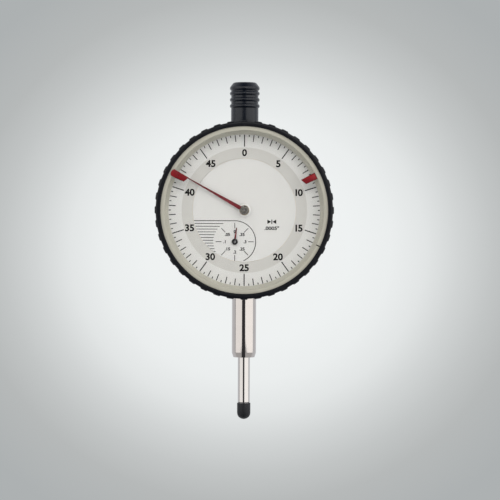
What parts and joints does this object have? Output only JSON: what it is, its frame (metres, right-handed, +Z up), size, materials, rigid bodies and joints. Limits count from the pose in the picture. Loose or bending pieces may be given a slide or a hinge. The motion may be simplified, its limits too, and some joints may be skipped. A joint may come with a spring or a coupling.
{
  "type": "dial indicator",
  "caption": "Plunger dial indicator with a turning ribbed bezel, white dial, red pointer, small turn counter, tolerance markers, lifting cap and round mounting shank.",
  "frame": {"origin": "centre of the clampable length of the mounting shank, on the spindle axis", "axes": "+Z up along the spindle towards the lifting cap; the dial faces -Y; +X is to the reader's right"},
  "size_m": [0.0584, 0.0225, 0.1114],
  "materials": {
    "case_black": "satin black paint",
    "cover_black": "satin black paint",
    "gasket_rubber": "soft black rubber",
    "screw_steel": "bright steel",
    "shank_steel": "ground stainless steel",
    "spindle_steel": "hardened and ground stainless steel",
    "bronze": "sintered bronze",
    "felt": "dark wiper ring",
    "tube_steel": "turned steel",
    "brass": "satin brass",
    "gear_brass": "polished brass",
    "ruby": "polished red jewel",
    "spring_steel": "drawn spring wire",
    "blue_spring": "blued spring ribbon",
    "bezel_black": "satin blue-black coating",
    "dial_white": "matt pale grey print ground",
    "ring_beige": "satin beige",
    "crystal": "clear polished",
    "marker_red": "satin red",
    "pointer_red": "satin dark red lacquer",
    "hub_metal": "turned bright metal",
    "hub_black": "satin black",
    "ball": "polished hard metal",
    "guard_rubber": "satin black rubber",
    "cap_black": "satin black"
  },
  "bodies": {
    "case": {"case_body": "case_black", "rear_cover": "cover_black", "cover_gasket": "gasket_rubber", "cover_screws": "screw_steel", "mounting_shank": "shank_steel", "lower_bush": "bronze", "shank_seal": "felt", "upper_guide_tube": "tube_steel", "upper_bush": "bronze", "cap_stop_washer": "gasket_rubber", "movement_plate": "brass", "plate_screws": "screw_steel", "front_bridge": "brass", "bridge_pillars": "brass", "bridge_screws": "screw_steel", "rear_cock": "brass", "cock_posts": "brass", "cock_screws": "screw_steel", "jewel_bearings": "ruby", "guide_rod": "tube_steel", "guide_rod_holders": "brass", "spring_post": "tube_steel", "measuring_spring": "spring_steel", "hairspring": "blue_spring", "hairspring_stud": "brass", "bezel_retaining_spring": "spring_steel", "dial_seat": "brass", "dial_disc": "dial_white", "dial_feet": "brass"},
    "bezel": {"bezel_ring": "bezel_black", "scale_ring": "dial_white", "spacer_ring": "ring_beige", "crystal_gasket": "ring_beige", "crystal": "crystal", "crystal_ring": "ring_beige"},
    "left_marker": {"marker_left": "marker_red"},
    "right_marker": {"marker_right": "marker_red"},
    "plunger": {"spindle": "spindle_steel", "contact_point": "spindle_steel", "contact_ball": "ball", "tip_guard": "guard_rubber", "guide_arm": "brass", "guide_arm_screw": "screw_steel", "lifting_cap": "cap_black", "cap_insert": "brass"},
    "counter_arbor": {"rack_pinion_arbor": "tube_steel", "counter_wheel": "gear_brass", "small_pointer_hub": "hub_black", "small_pointer": "pointer_red"},
    "pointer_arbor": {"centre_arbor": "tube_steel", "pointer_hub": "hub_metal", "main_pointer": "pointer_red"},
    "hairspring_body": {"hairspring_arbor": "tube_steel", "hairspring_wheel": "gear_brass", "hairspring_collet": "brass"}
  },
  "joints": [
    {"name": "plunger_slide", "type": "slide", "parent": "case", "child": "plunger", "axis": [0, 0, 1], "range_m": [0, 0.0105], "stiffness_N_per_m": 40, "springref_m": -0.025, "deforming": ["measuring_spring"]},
    {"name": "counter_spin", "type": "hinge", "parent": "case", "child": "counter_arbor", "pos_m": [-0.0031, 0, 0.0277], "axis": [0, 1, 0], "range_deg": [-373, 1]},
    {"name": "pointer_spin", "type": "hinge", "parent": "case", "child": "pointer_arbor", "pos_m": [0, 0, 0.038], "axis": [0, 1, 0], "range_deg": [-1, 2978]},
    {"name": "hairspring_spin", "type": "hinge", "parent": "case", "child": "hairspring_body", "pos_m": [0.00609, 0, 0.04373], "axis": [0, 1, 0], "range_deg": [-497, 1], "deforming": ["hairspring"]},
    {"name": "bezel_turn", "type": "hinge", "parent": "case", "child": "bezel", "pos_m": [0, 0, 0.038], "axis": [0, 1, 0], "continuous": true},
    {"name": "left_marker_turn", "type": "hinge", "parent": "bezel", "child": "left_marker", "pos_m": [0, 0, 0.038], "axis": [0, 1, 0], "range_deg": [-111, 56]},
    {"name": "right_marker_turn", "type": "hinge", "parent": "bezel", "child": "right_marker", "pos_m": [0, 0, 0.038], "axis": [0, 1, 0], "range_deg": [-56, 109]}
  ],
  "couplings": [
    {"joint": "pointer_spin", "follows": "plunger_slide", "rad_per_m": 4947.4},
    {"joint": "counter_spin", "follows": "plunger_slide", "rad_per_m": -618.42},
    {"joint": "hairspring_spin", "follows": "plunger_slide", "rad_per_m": -824.57}
  ]
}
